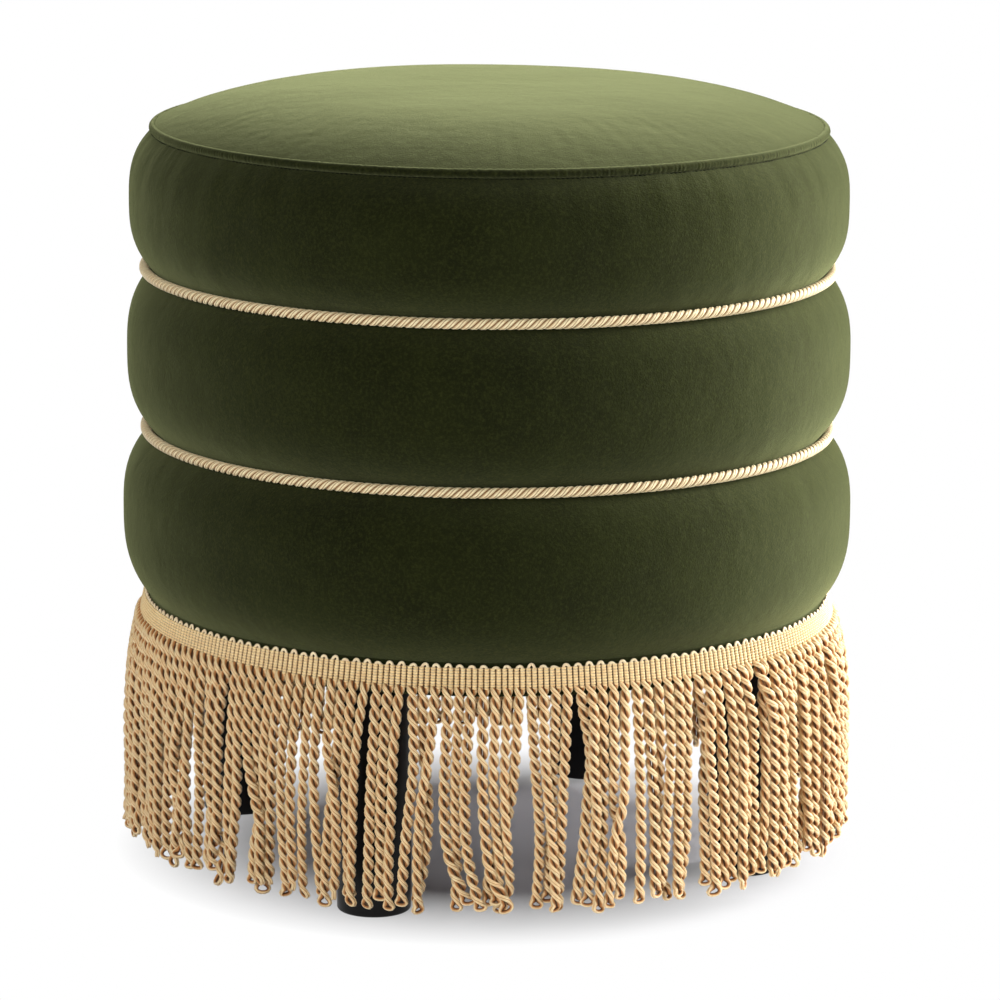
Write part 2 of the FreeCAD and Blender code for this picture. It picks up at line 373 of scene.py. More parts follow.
def upholstered(points, held, closed_rows=True):
    """The grid with the unevenness its cloth settles into, up to SWELL_CAP. Each row keeps its mean place,
    so the designed outline stays."""
    coarse = points[:, ::2]
    moved = settled_cloth(coarse, held[:, ::2], closed_rows) - coarse
    columns = points.shape[1]
    ray = polar(1.0, 2 * np.pi * np.arange(columns) / columns, 0.0)
    result = points.copy()
    for push, way in ((np.einsum("rci,ci->rc", moved, ray[::2]), ray), (moved[..., 2], UP)):
        push = (push - push.mean(1, keepdims=True)).clip(-SWELL_CAP, SWELL_CAP)
        fine = np.repeat(push, 2, 1)
        fine[:, 1::2] = (push + np.roll(push, -1, 1)) / 2
        result += fine[..., None] * way
    return result


def ring_noise(angle, fewest, most, waves, rng):
    """A smooth random wave round the axis, about 1 at its highest."""
    total = np.zeros_like(angle)
    for _ in range(waves):
        total += np.sin(rng.integers(fewest, most + 1) * angle + rng.uniform(0, 2 * np.pi))
    return total / math.sqrt(waves) / 1.6


# Materials
class Nodes:
    """A node tree, with short ways to add to it."""

    def __init__(self, tree):
        self.nodes = tree.nodes
        self.links = tree.links

    def add(self, kind, settings=None, **inputs):
        """A node. Its inputs, sockets or values, are named with _ for a space, or by i and a number."""
        node = self.nodes.new("ShaderNode" + kind)
        for key, value in (settings or {}).items():
            setattr(node, key, value)
        for key, value in inputs.items():
            socket = node.inputs[int(key[1:]) if key[1:].isdigit() else key.replace("_", " ")]
            self.give(socket, value)
        return node

    def give(self, socket, value):
        if isinstance(value, bpy.types.NodeSocket):
            self.links.new(value, socket)
        else:
            socket.default_value = value

    def math(self, operation, a, b=0.0):
        return self.add("Math", {"operation": operation}, i0=a, i1=b).outputs[0]

    def mix(self, factor, a, b):
        """Colour a where the factor is 0 and b where it is 1."""
        node = self.add("Mix", {"data_type": "RGBA"}, i0=factor)
        for index, value in ((6, a), (7, b)):
            self.give(node.inputs[index], (*value, 1) if isinstance(value, tuple) else value)
        return node.outputs[2]


class Shader(Nodes):
    """A new material and its surface shader, whose constants are named with _ for a space."""

    def __init__(self, name, **constants):
        self.material = bpy.data.materials.new(name)
        self.material.use_nodes = True
        super().__init__(self.material.node_tree)
        self.surface = self.nodes["Principled BSDF"]
        for socket, value in constants.items():
            self.surface.inputs[socket.replace("_", " ")].default_value = value

    def place(self):
        return self.add("TexCoord").outputs["Object"]

    def noise(self, scale, detail=2.0, roughness=0.5, vector=None):
        return self.add("TexNoise", Vector=vector or self.place(), Scale=scale, Detail=detail,
                        Roughness=roughness).outputs["Fac"]

    def ramp(self, factor, *stops):
        """Colours or greys at positions from 0 to 1."""
        node = self.add("ValToRGB", Fac=factor)
        elements = node.color_ramp.elements
        while len(elements) < len(stops):
            elements.new(0.5)
        for element, (position, colour) in zip(elements, stops):
            element.position = position
            grey = isinstance(colour, (int, float))
            element.color = (colour, colour, colour, 1) if grey else (*colour, 1)
        return node.outputs["Color"]

    def feed(self, socket, value):
        self.links.new(value, self.surface.inputs[socket])

    def bump(self, height, distance, strength=1.0):
        node = self.add("Bump", Height=height, Distance=distance, Strength=strength)
        self.feed("Normal", node.outputs["Normal"])


def velvet_material():
    """Dense cut pile: nearly black green seen straight on, pale where it is seen along its surface."""
    s = Shader("olive_velvet", Roughness=0.85, Specular_IOR_Level=0.0, Sheen_Weight=1.0,
               Sheen_Roughness=0.57, Sheen_Tint=(0.213, 0.230, 0.112, 1))
    patches = s.noise(22, 4, 0.6)
    flecks = s.noise(520, 3, 0.75)
    pile = s.noise(900, 3, 0.7)
    base = s.ramp(patches, (0.3, (0.0010, 0.0018, 0.0002)), (0.7, (0.0050, 0.0068, 0.0009)))
    strength = s.ramp(flecks, (0.45, 0), (0.75, 0.9))
    s.feed("Base Color", s.mix(strength, base, (0.018, 0.021, 0.004)))
    lay = s.math("MULTIPLY", s.noise(24, 3, 0.55), 5.0)
    crush = s.math("ADD", lay, s.math("MULTIPLY", s.noise(110, 2, 0.5), 1.0))
    s.bump(s.math("ADD", crush, s.math("MULTIPLY", pile, 1.1)), 0.4 * MM, 0.6)
    return s.material


SATIN_TINT = (1.0, 0.85, 0.62, 1)
GLOSS_TINT = (1.0, 0.86, 0.66, 1)


def yarn_map(s):
    """How far along and how far round its tube a point is, each from 0 to 1. Round starts and ends at the
    middle of the face that looks outwards."""
    parts = s.add("SeparateXYZ", Vector=s.add("UVMap", {"uv_map": "yarn"}).outputs["UV"])
    return parts.outputs["X"], parts.outputs["Y"]


def off_centre(s, value, centre):
    return s.math("ABSOLUTE", s.math("SUBTRACT", value, centre))


def yarn_material(name, light, warm, flank_shade, heart_shade, edge=0.21, sheen=0.3, roughness=0.3):
    """Satin yarn: paler and warmer stretches, with painted shade: dark lines where yarns meet, an
    orange-brown side turned in and a nearly black middle where the plies meet. edge is how far round from
    its outward face the painted shade of the side begins."""
    s = Shader(name, Specular_IOR_Level=0.7, Specular_Tint=GLOSS_TINT, Sheen_Weight=sheen,
               Sheen_Roughness=0.4, Sheen_Tint=SATIN_TINT)
    along, around = yarn_map(s)
    patches = s.noise(260, 3, 0.6)
    drift = s.noise(35, 2, 0.5)
    colour = s.mix(s.ramp(patches, (0.38, 0), (0.66, 1)), light, warm)
    colour = s.mix(s.math("MULTIPLY", s.ramp(drift, (0.4, 0), (0.7, 1)), 0.35), colour, warm)
    turned = s.math("SUBTRACT", 0.5, off_centre(s, around, 0.5))
    slanted = s.math("ADD", s.math("MULTIPLY", around, 75.0), s.math("MULTIPLY", along, 900.0))
    fibres = s.math("SINE", slanted)
    # Painted shade: dark lines in the grooves where the yarns meet.
    groove_shade = s.ramp(turned, (0.012, 0.9), (0.045, 0), (0.115, 0), (0.135, 0.5), (0.155, 0))
    colour = s.mix(groove_shade, colour, flank_shade)
    # Painted shade: the side that turns in to the other ply darkens to orange-brown, then to a deep colour
    # where the plies meet.
    colour = s.mix(s.ramp(turned, (edge, 0), (edge + 0.09, 1)), colour, flank_shade)
    colour = s.mix(s.ramp(turned, (edge + 0.12, 0), (edge + 0.2, 1)), colour, heart_shade)
    s.feed("Base Color", colour)
    s.feed("Roughness", s.ramp(turned, (0.2, roughness), (0.3, 0.85)))
    s.bump(s.math("ADD", s.math("MULTIPLY", fibres, 0.45), patches), 0.25 * MM, 0.8)
    return s.material


def heading_material(name, light, warm, recess_shade, dips=0, binding_shade=0.0):
    """The woven heading's yarns, with painted shade where they turn or dip towards the velvet. dips is how
    many times a yarn dips round the heading, and bound how much painted shade darkens a rib where the
    threads bind it, away from its loop."""
    s = Shader(name, Roughness=0.5, Specular_IOR_Level=0.4, Sheen_Weight=0.2, Sheen_Roughness=0.4,
               Sheen_Tint=SATIN_TINT)
    along, around = yarn_map(s)
    patches = s.noise(300, 3, 0.6)
    colour = s.mix(s.ramp(patches, (0.38, 0), (0.66, 1)), light, warm)
    # Painted shade on the face that turns in towards the velvet.
    colour = s.mix(s.ramp(off_centre(s, around, 0.5), (0.12, 1), (0.32, 0)), colour, recess_shade)
    if binding_shade:
        # Painted shade down a rib where the threads cross over it.
        colour = s.mix(s.ramp(off_centre(s, along, 0.5), (0.13, 0), (0.2, binding_shade)), colour, recess_shade)
    if dips:
        # Painted shade where a thread dips in between the ribs.
        phase = s.math("FRACT", s.math("MULTIPLY", along, float(dips)))
        colour = s.mix(s.ramp(off_centre(s, phase, 0.5), (0.13, 1), (0.27, 0)), colour, recess_shade)
    s.feed("Base Color", colour)
    s.bump(s.noise(1800, 2, 0.6), 0.1 * MM, 0.5)
    return s.material


def black_wood_material():
    """Beech stained black under a satin lacquer: fine upright grain and a gloss that varies softly."""
    s = Shader("black_wood", Specular_IOR_Level=0.15, Coat_Weight=0.05, Coat_Roughness=0.25)
    stretched = s.add("Mapping", Vector=s.place(), Scale=(1.0, 1.0, 0.06)).outputs["Vector"]
    grain = s.noise(900, 4, 0.65, stretched)
    s.feed("Base Color", s.ramp(grain, (0.3, (0.0016, 0.0014, 0.0013)), (0.75, (0.0052, 0.0044, 0.0040))))
    s.feed("Roughness", s.ramp(s.noise(60, 3), (0.3, 0.30), (0.7, 0.42)))
    s.bump(grain, 0.08 * MM, 0.4)
    return s.material


def dull_material(name, dark, light, scale, stretch=(1.0, 1.0, 1.0), roughness=0.8, **constants):
    """A plain workshop material: two tones of noise, stretched along a grain, with the noise as relief."""
    s = Shader(name, Roughness=roughness, **constants)
    place = s.add("Mapping", Vector=s.place(), Scale=stretch).outputs["Vector"]
    grain = s.noise(scale, 5, 0.65, place)
    s.feed("Base Color", s.ramp(grain, (0.3, dark), (0.7, light)))
    s.bump(grain, 0.2 * MM, 0.5)
    return s.material


velvet = velvet_material()
# The last two colours of each yarn are painted shade: its side turned in, and the middle where its plies or
# strands meet.
cord_yarn = yarn_material("cord_yarn", (0.92, 0.75, 0.44), (0.86, 0.59, 0.30), (0.47, 0.19, 0.055),
                          (0.08, 0.026, 0.006), sheen=0.15)
rope_yarn = yarn_material("rope_yarn", (0.87, 0.77, 0.49), (0.84, 0.67, 0.40), (0.32, 0.17, 0.065),
                          (0.05, 0.02, 0.007), edge=0.13, sheen=0.05, roughness=0.45)
# The third colour of each heading yarn is painted shade in its recesses.
rib_yarn = heading_material("rib_yarn", (0.88, 0.74, 0.48), (0.82, 0.62, 0.38), (0.20, 0.10, 0.035),
                            binding_shade=0.4)
warp_yarn = heading_material("warp_yarn", (0.87, 0.66, 0.34), (0.80, 0.56, 0.27), (0.16, 0.08, 0.026),
                             dips=RIBS)
seam_thread = dull_material("seam_thread", (0.002, 0.003, 0.001), (0.006, 0.007, 0.003), 1500,
                            Specular_IOR_Level=0.1)
black_wood = black_wood_material()
glide_plastic = dull_material("glide_plastic", (0.03, 0.03, 0.03), (0.05, 0.05, 0.05), 500, roughness=0.5)
dust_cloth = dull_material("dust_cloth", (0.012, 0.012, 0.013), (0.030, 0.030, 0.032), 900, roughness=0.9)
staple_steel = dull_material("staple_steel", (0.50, 0.50, 0.49), (0.66, 0.66, 0.65), 300, roughness=0.35,
                             Metallic=1.0)
hidden_materials = {
    "plywood": dull_material("plywood", (0.50, 0.34, 0.19), (0.68, 0.50, 0.31), 60, (1, 6, 12)),
    "drum_board": dull_material("drum_board", (0.26, 0.18, 0.11), (0.36, 0.26, 0.17), 300),
    "softwood": dull_material("softwood", (0.62, 0.44, 0.25), (0.76, 0.58, 0.36), 120, (8, 8, 0.6)),
    "foam": dull_material("foam", (0.74, 0.68, 0.50), (0.86, 0.81, 0.66), 700),
    "steel": dull_material("zinc_steel", (0.48, 0.48, 0.47), (0.62, 0.62, 0.60), 200, roughness=0.4,
                           Metallic=1.0),
}


# Velvet rolls
def roll_radius(share, full, low_radius, high_radius):
    end = np.where(share < 0.5, low_radius, high_radius)
    return full - (full - end) * np.abs(2 * share - 1) ** ROLL_SHARPNESS


def line_points(start, end, shares):
    """Points at those shares of the way from start to end, each (radius, height)."""
    start, end = np.array(start), np.array(end)
    return start + (end - start) * np.array(shares)[:, None]


def roll_outline(bottom, top, full, low_radius, high_radius, has_hem):
    """(radius, height) of the crowned face from the bottom up, then in over the top and down the lining."""
    share = (1 - np.cos(np.pi * np.arange(ROLL_ROWS + 1) / ROLL_ROWS)) / 2
    face = np.stack([roll_radius(share, full, low_radius, high_radius), bottom + share * (top - bottom)], 1)
    if has_hem:
        hem = line_points((HEM_RADIUS, HEM_BOTTOM), face[0], np.arange(HEM_ROWS) / HEM_ROWS)
        face = np.concatenate([hem, face])
    start, end = face[0], face[-1]
    over = line_points(end, (FOAM_INNER, end[1]), (0.35, 0.7, 1.0))
    down = line_points((FOAM_INNER, end[1]), (FOAM_INNER, start[1]), (0.25, 0.5, 0.75))
    under = line_points((FOAM_INNER, start[1]), start, (0.0, 0.3, 0.65))
    return np.concatenate([face, over, down, under]), len(face)


def pucker(outline, faces, angle, seams, rng):
    """How far the face is drawn in at each (row, column), by gathers that fade away from the seams."""
    depth = np.zeros((len(outline), len(angle)))
    heights = outline[:faces, 1]
    for seam, strength, reach in seams:
        gathers = ring_noise(angle, 120, 260, 14, rng) * (0.55 + 0.45 * ring_noise(angle, 3, 17, 5, rng))
        longer = ring_noise(angle, 30, 70, 8, rng)
        fade = np.exp(-np.abs(heights - seam) / reach)
        slow = np.exp(-np.abs(heights - seam) / (2.5 * reach)) - 0.5 * fade
        depth[:faces] += strength * (fade[:, None] * gathers + 0.8 * slow[:, None] * longer)
    return depth


def build_roll(name, node, full, seams, has_hem=False):
    bottom = HEADER_TOP if has_hem else low(node).z
    top = high(node).z
    low_radius = HEADER_SEAT if has_hem else VALLEY_RADIUS
    outline, faces = roll_outline(bottom, top, full, low_radius, VALLEY_RADIUS, has_hem)
    angle = 2 * np.pi * np.arange(ROLL_COLUMNS) / ROLL_COLUMNS
    radius = outline[:, :1] - pucker(outline, faces, angle, seams, RNG)
    share = np.clip((outline[:, 1:] - bottom) / (top - bottom), 0, 1)
    soft = ROLL_WAVE * ring_noise(angle, 2, 9, 6, RNG) * np.sin(np.pi * share)
    radius[:faces] += soft[:faces]
    points = polar(radius, angle[None], outline[:, 1:])
    held = np.ones(points.shape[:2], bool)
    held[HEM_ROWS + 1 if has_hem else 1:faces - 1] = False
    points = upholstered(points, held)
    ids, _ = quads(len(outline), ROLL_COLUMNS, True, True)
    piece = make_piece(name, points.reshape(-1, 3), [ids], velvet)
    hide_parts(node, node.replace("cover", "foam"))


# Each seam is its height, how deep its gathers are and how far they reach.
lower_seam = (LOWER_VALLEY, 0.35 * MM, 7 * MM)
upper_seam = (UPPER_VALLEY, 0.35 * MM, 7 * MM)
welt_seam = (WELT_HEIGHT, 0.75 * MM, 10 * MM)
build_roll("lower_roll", "lower_cover", ROLL_RADIUS + LOWER_FULLNESS, [lower_seam], has_hem=True)
build_roll("middle_roll", "middle_cover", ROLL_RADIUS + MIDDLE_FULLNESS, [lower_seam, upper_seam])
build_roll("upper_roll", "upper_cover", ROLL_RADIUS + UPPER_FULLNESS, [upper_seam, welt_seam])


# Seat
def build_seat():
    edge = WELT_RING - 1.0 * MM
    share = np.sin(np.pi / 2 * np.arange(SEAT_ROWS) / (SEAT_ROWS - 1))
    radius = edge * share[::-1, None]
    height = SEAT_EDGE_HEIGHT + SEAT_CROWN * (1 - (radius / edge) ** CROWN_SHARPNESS)
    crown_height = height[-1, 0]
    radius, height = radius[:-1], height[:-1]
    angle = 2 * np.pi * np.arange(SEAT_COLUMNS) / SEAT_COLUMNS
    drawn = np.exp(-(edge - radius) / SEAT_GATHER_REACH)
    gathers = SEAT_GATHERS * ring_noise(angle, 90, 220, 12, RNG) * drawn
    wave = SEAT_WAVE * ring_noise(angle, 2, 7, 5, RNG) * np.sin(np.pi * radius / edge)
    top = polar(radius, angle[None], height + gathers + wave)
    below = [(edge, 2.5 * MM), (FOAM_INNER, 5 * MM), (FOAM_INNER, SEAT_DEPTH), (0.5 * edge, SEAT_DEPTH)]
    under = np.stack([polar(r, angle, SEAT_EDGE_HEIGHT - depth) for r, depth in below])
    rim = np.concatenate([top[::-1], under])
    held = np.ones(rim.shape[:2], bool)
    held[3:SEAT_ROWS - 2] = False
    rim = upholstered(rim, held, False)
    ids, _ = quads(len(rim), SEAT_COLUMNS, False, True)
    points = rim.reshape(-1, 3)
    centres = np.array([[0, 0, crown_height], [0, 0, SEAT_EDGE_HEIGHT - SEAT_DEPTH]])
    ring = np.arange(SEAT_COLUMNS)
    crown = fans(ring, len(points), True)
    base = fans(ring + (len(rim) - 1) * SEAT_COLUMNS, len(points) + 1)
    piece = make_piece("seat_panel", np.concatenate([points, centres]), [ids, crown, base], velvet)
    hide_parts("seat_cover", "seat_foam")


build_seat()


# Welt
def build_welt():
    angle = 2 * np.pi * np.arange(WELT_STEPS) / WELT_STEPS
    fine = ring_noise(angle, 150, 330, 14, RNG)
    slow = ring_noise(angle, 2, 12, 5, RNG)
    wrinkle = WELT_WRINKLES * fine * (0.6 + 0.5 * slow)
    wrinkle += WELT_CREASES * ring_noise(angle, 380, 560, 12, RNG)
    path = polar(WELT_RING, angle, WELT_HEIGHT)[None]
    outward = polar(1.0, angle, 0.0)[None]
    around = 2 * np.pi * np.arange(WELT_SIDES) / WELT_SIDES
    swell = WELT_RADIUS + wrinkle[:, None] * np.cos(around[None] - 0.6)
    profile = np.stack([swell * np.sin(around), swell * np.cos(around)], -1)
    piece = tube_piece("welt", sweep(path, outward, profile[None], True), velvet, True, 6)
    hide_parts("top_welt")


build_welt()


def build_stitches():
    """The seam that holds the welt: short threads on the top band, just under it."""
    steps = 4
    pitch = 2 * np.pi / STITCHES
    share = np.linspace(-STITCH_SHARE / 2, STITCH_SHARE / 2, steps)[None]
    angle = (np.arange(STITCHES)[:, None] + share) * pitch
    sink = STITCH_SINK * (2 * np.abs(share) / STITCH_SHARE) ** 2
    radius = WELT_RING + 0.55 * WELT_RADIUS - sink
    paths = polar(radius, angle, WELT_HEIGHT - 1.12 * WELT_RADIUS)
    points = sweep(paths, polar(1.0, angle, 0.0), ellipse(STITCH_WIDTH, STITCH_DEPTH, 5))
    tube_piece("welt_stitches", points, seam_thread)


build_stitches()


# Ropes
def build_rope(node):
    turns = round(2 * math.pi * ROPE_RING / STRAND_PITCH)
    steps = turns * STEPS_PER_TURN
    angle = 2 * np.pi * np.arange(steps) / steps
    axis = polar(ROPE_RING, angle, middle_height(node))
    out = polar(1.0, angle, 0.0)
    paths, away = [], []
    for k in range(STRANDS):
        phase = turns * angle + 2 * np.pi * k / STRANDS
        turn = np.cos(phase)[:, None] * out + np.sin(phase)[:, None] * UP
        paths.append(axis + STRAND_ORBIT * turn)
        away.append(turn)
    around = 2 * np.pi * np.arange(STRAND_SIDES) / STRAND_SIDES
    lobes = STRAND_RADIUS * np.where(around > 0, 1.0, OUTWARD_FLATNESS)
    profile = np.stack([lobes * np.sin(around), lobes * np.cos(around)], -1)
    points = sweep(np.stack(paths), np.stack(away), profile, True)
    piece = tube_piece(node + "_strands", points, rope_yarn, True, 8)
    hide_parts(node)


build_rope("upper_rope")
build_rope("lower_rope")


# Heading of the fringe
def heading_radius(height):
    """Where the middle of the heading's ribs stands at that height."""
    slope = HEADER_FLARE / (HEADER_TOP - HEM_BOTTOM)
    return HEADER_SEAT + RIB_STAND + slope * (HEADER_TOP - height)


def build_ribs():
    """Pairs of ribs up the heading, each pair joined over the top by a small loop, the picot."""
    pitch = 2 * math.pi / CORDS
    offset = pitch / 4
    rows_up = np.linspace(HEADER_BOTTOM + 1.0 * MM, HEADER_TOP - PICOT_RISE - 1.15 * MM, RIB_STEPS)
    over = np.arange(1, RIB_STEPS) / RIB_STEPS * np.pi
    spread = offset * np.concatenate([-np.ones(RIB_STEPS), -np.cos(over), np.ones(RIB_STEPS)])
    rise = np.concatenate([rows_up, rows_up[-1] + PICOT_RISE * np.sin(over), rows_up[::-1]])
    centres = (np.arange(CORDS) + 0.5) * pitch
    jitter = RNG.normal(0, PICOT_JITTER, CORDS)
    lean = RNG.normal(0, PICOT_LEAN, CORDS)
    loop_share = np.clip((rise - rows_up[-1]) / PICOT_RISE, 0, 1)
    height = rise[None] + loop_share * jitter[:, None]
    angle = centres[:, None] + spread[None] + loop_share * lean[:, None] * offset
    paths = polar(heading_radius(height), angle, height)
    outward = polar(1.0, angle, 0.0)
    slim = 1 - PICOT_SLIMNESS * np.clip(4 * loop_share, 0, 1)
    points = sweep(paths, outward, slim[None, :, None, None] * ellipse(RIB_WIDTH, RIB_DEPTH, 8))
    ribs = tube_piece("heading_ribs", points, rib_yarn)
    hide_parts("fringe_header")


def build_threads():
    """Rows of thread round the heading, out over each rib and in between them."""
    steps = RIBS * THREAD_STEPS_PER_RIB
    number = np.arange(steps)
    ring = 2 * np.pi * number / steps
    first_rib = math.pi / CORDS / 2
    swing = 1 - np.abs(np.sin(np.pi * number / THREAD_STEPS_PER_RIB)) ** 2.5
    row_heights = np.linspace(HEADER_BOTTOM + 1.4 * MM, HEADER_TOP - 3.2 * MM, THREAD_ROWS)
    paths = []
    for height in row_heights:
        wobble = THREAD_WOBBLE * ring_noise(ring, 40, 160, 8, RNG)
        out = heading_radius(height) - THREAD_SINK + THREAD_SWING * swing
        paths.append(polar(out, ring + first_rib, height + wobble))
    outward = np.stack([polar(1.0, ring + first_rib, 0.0)] * THREAD_ROWS)
    points = sweep(np.stack(paths), outward, ellipse(THREAD_WIDTH, THREAD_DEPTH, 6), True)
    threads = tube_piece("heading_threads", points, warp_yarn, True, 6)
    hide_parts("fringe_header")


build_ribs()
build_threads()


# Fringe cords
def smooth_along(values, times):
    for _ in range(times):
        values[:, 1:-1] += 0.25 * (values[:, :-2] + values[:, 2:] - 2 * values[:, 1:-1])


def push_apart(along, out, around, inmost, outmost):
    """Moves cords that come nearer than CORD_REACH apart, all but their first points. along and out are
    (cord, level) distances round the fringe and from the axis."""
    fixed = along[:, :3].copy(), out[:, :3].copy()
    for _ in range(PUSH_ROUNDS):
        for step in (1, 2, 3, 4):
            dx = np.roll(along, -step, 0) - along
            dx[-step:] += around
            dy = np.roll(out, -step, 0) - out
            gap = np.maximum(np.hypot(dx, dy), 1e-6)
            push = np.clip(CORD_REACH - gap, 0, None) * PUSH_SHARE / gap
            along -= push * dx
            out -= push * dy
            along += np.roll(push * dx, step, 0)
            out += np.roll(push * dy, step, 0)
        np.clip(out, inmost, outmost, out)
        along[:, :3], out[:, :3] = fixed
        smooth_along(along, 2)
        smooth_along(out, 2)


def hang_cords(levels):
    """Where each cord's middle runs: (angle, radius) at each level. They lean, sway and gather in groups of
    two to four, pushed clear of their neighbours. lean and sway are in millimetres."""
    hang = FRINGE_OUTER - CORD_REACH / 2
    pitch = 2 * math.pi / CORDS
    t = np.linspace(0, 1, levels)[None]
    n = RNG.normal(size=(6, CORDS, 1)).clip(-2.2, 2.2)
    base = (np.arange(CORDS)[:, None] + 0.5) * pitch * hang
    group = np.repeat(np.arange(CORDS), RNG.integers(2, 5, CORDS))[:CORDS]
    middle = np.array([base[group == g].mean() for g in group])[:, None]
    along = base + GROUP_PULL * np.sin(0.5 * np.pi * t) * (middle - base)
    lean = 3.4 * n[0] * t + 2.2 * n[1] * np.sin(np.pi * t) + 1.5 * n[2] * np.sin(2 * np.pi * t)
    along = along + MM * (lean + 1.1 * n[5] ** 3 * t ** 4)
    flare = 1 - np.exp(-t / FLARE_LENGTH)
    top_radius = HEADER_OUTER - 0.9 * MM
    sway = t * (3.0 * n[3] + 1.4 * n[4] * np.sin(2.5 * np.pi * t))
    out = top_radius + (hang - top_radius) * flare + MM * sway
    inmost = top_radius - 4.5 * MM * np.clip(3 * t - 0.4, 0, 1)
    push_apart(along, out, 2 * math.pi * hang, inmost, hang + 1.5 * MM)
    return along / hang, out


def cord_paths():
    """The yarn of each cord: down one ply, round the end loop and up the other. Returns the paths, the ways
    out from them and how open the loop is at each step."""
    length = HEADER_BOTTOM - FRINGE_END
    turns = (length - LOOP_DROP - CORD_END_SPREAD / 2) / TWIST_PITCH
    steps = round(turns * STEPS_PER_TURN) + 1
    angle, radius = hang_cords(steps)
    lift = 0.5 + 0.5 * np.sin(CORD_END_RHYTHM * np.arange(CORDS))
    end = FRINGE_END - CORD_END_LOWER + CORD_END_SPREAD * lift
    top = HEADER_BOTTOM + 1.5 * MM
    bottom = end + LOOP_DROP + PLY_DEPTH
    t = np.linspace(0, 1, steps)
    axis = polar(radius, angle, top + (bottom[:, None] - top) * t)
    down = unit(np.gradient(axis, axis=1))
    side = polar(1.0, angle + np.pi / 2, 0.0)
    side = unit(side - np.einsum("cki,cki->ck", side, down)[..., None] * down)
    out = np.cross(down, side)
    half_turns = np.round(2 * turns * (1 + RNG.normal(0, TURN_SPREAD, CORDS)))
    turn_count = half_turns / 2 + RNG.normal(0, PHASE_SPREAD, CORDS)
    phase = np.pi - 2 * np.pi * turn_count[:, None] * t
    orbit = PLY_ORBIT * (1 + ORBIT_SPREAD * RNG.normal(size=(CORDS, 1, 1)))
    ray = np.cos(phase)[..., None] * side + np.sin(phase)[..., None] * out
    one = axis + orbit * ray
    other = axis - orbit * ray

    bend = np.arange(1, LOOP_STEPS) / LOOP_STEPS * np.pi
    last, fall, reach = axis[:, -1:], down[:, -1:], ray[:, -1:]
    size = (1 + 0.25 * RNG.normal(size=(CORDS, 1, 1))).clip(0.65, 1.5)
    tip = RNG.normal(size=(2, CORDS, 1, 1)).clip(-2, 2)
    fall = unit(fall + 0.3 * tip[0] * side[:, -1:] + 0.2 * tip[1] * out[:, -1:])
    across = orbit * np.cos(bend)[:, None] + size * LOOP_BULGE * np.sin(2 * bend)[:, None]
    loop = last + reach * across + fall * (size * LOOP_DROP * np.sin(bend)[:, None])
    loop_out = unit(loop - last)
    paths = np.concatenate([one, loop, other[:, ::-1]], 1)
    outward = np.concatenate([ray, loop_out, -ray[:, ::-1]], 1)
    openness = np.concatenate([0 * t, np.sin(bend) ** 0.5, 0 * t])
    return paths, outward, openness


def ply_profile(openness):
    """A ply's section: two yarns side by side facing out, and a flank that meets the other ply. Where
    openness is 1, in the end loop, the flank stays away from the loop's middle."""
    half = MM * np.array([(0.0, 0.66), (0.70, 1.26), (1.30, 0.84), (1.52, 0.05), (1.06, -0.95),
                          (0.46, -1.75), (0.0, -2.3)])
    around = np.concatenate([half, half[-2:0:-1] * (-1, 1)])
    profile = np.broadcast_to(around, (len(openness), *around.shape)).copy()
    profile[..., 1] *= np.where(profile[..., 1] < 0, 1 - 0.55 * openness[:, None], 1)
    return profile


def build_cords():
    paths, outward, openness = cord_paths()
    points = sweep(paths, outward, ply_profile(openness)[None])
    for first in range(0, CORDS, CORDS_PER_PIECE):
        name = "fringe_cords_%d" % (first // CORDS_PER_PIECE + 1)
        piece = tube_piece(name, points[first:first + CORDS_PER_PIECE], cord_yarn)
        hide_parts("fringe_cords")


build_cords()


# Legs and glides
def turned_piece(name, node, outline, material):
    """A round solid turned to the outline, its ends closed at the axis, in the node's place."""
    columns = 64
    centre = (low(node) + high(node)) / 2
    turn = 2 * np.pi * np.arange(columns) / columns
    outline = np.array(outline)
    points = polar(outline[:, :1], turn[None], outline[:, 1:]).reshape(-1, 3)
    ids, _ = quads(len(outline), columns, False, True)
    ring = np.arange(columns)
    foot = fans(ring, len(points), True)
    head = fans(ring + (len(outline) - 1) * columns, len(points) + 1)
    ends = np.array([[0, 0, outline[0, 1]], [0, 0, outline[-1, 1]]])
    points = np.concatenate([points, ends]) + np.array([centre.x, centre.y, 0])
    piece = make_piece(name, points, [ids, foot, head], material)
    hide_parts(node)


def eased_side(node, ease, rows):
    """(radius, height) up an upright round node, with rounded edges and the flat of each end."""
    radius = (high(node).x - low(node).x) / 2
    bottom, top = low(node).z, high(node).z
    bend = np.pi / 2 * np.arange(5) / 4
    foot = [(radius - ease + ease * math.sin(b), bottom + ease - ease * math.cos(b)) for b in bend]
    head = [(radius - ease + ease * math.cos(b), top - ease + ease * math.sin(b)) for b in bend]
    side = [(radius, z) for z in np.linspace(foot[-1][1], head[0][1], rows)[1:-1]]
    flat = 0.5 * (radius - ease)
    return [(flat, bottom)] + foot + side + head + [(flat, top)]


for place in ("front", "right", "rear", "left"):
    leg, glide = "leg_" + place, "glide_" + place
    turned_piece("turned_" + leg, leg, eased_side(leg, LEG_EASE, 9), black_wood)
    turned_piece("moulded_" + glide, glide, eased_side(glide, GLIDE_EASE, 3), glide_plastic)


